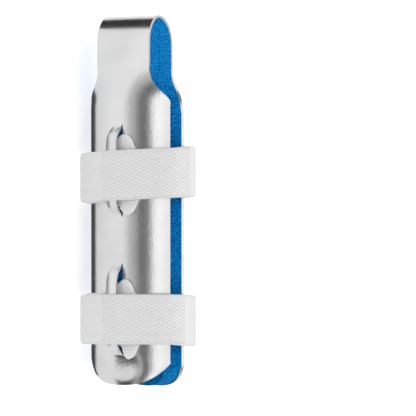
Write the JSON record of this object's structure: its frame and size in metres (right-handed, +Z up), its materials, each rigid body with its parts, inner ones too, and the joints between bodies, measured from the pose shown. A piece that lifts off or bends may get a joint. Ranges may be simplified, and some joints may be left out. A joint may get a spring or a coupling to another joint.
{
  "type": "finger splint",
  "caption": "Folded aluminium finger splint with a blue foam lining, lanced strap bridges and two wrapped white fabric straps.",
  "frame": {"origin": "under the middle of the splint's bounding box, on the surface that its straps lie on", "axes": "+X from the fold to the open ends, +Y from the bridge side to the hole side, +Z up, across the width"},
  "size_m": [0.094, 0.0242, 0.0303],
  "materials": {
    "metal": "bright rolled sheet with a satin grain along the strip",
    "foam": "fine open cell foam, matt",
    "loop_tape": "smooth brushed nylon loop tape",
    "hook_tape": "white nylon tape with a staggered lens weave"
  },
  "bodies": {
    "root": {"splint_body": "metal", "foam_lining": "foam", "upper_loop_tape": "loop_tape", "upper_hook_tape": "hook_tape", "lower_loop_tape": "loop_tape", "lower_hook_tape": "hook_tape"}
  },
  "joints": []
}
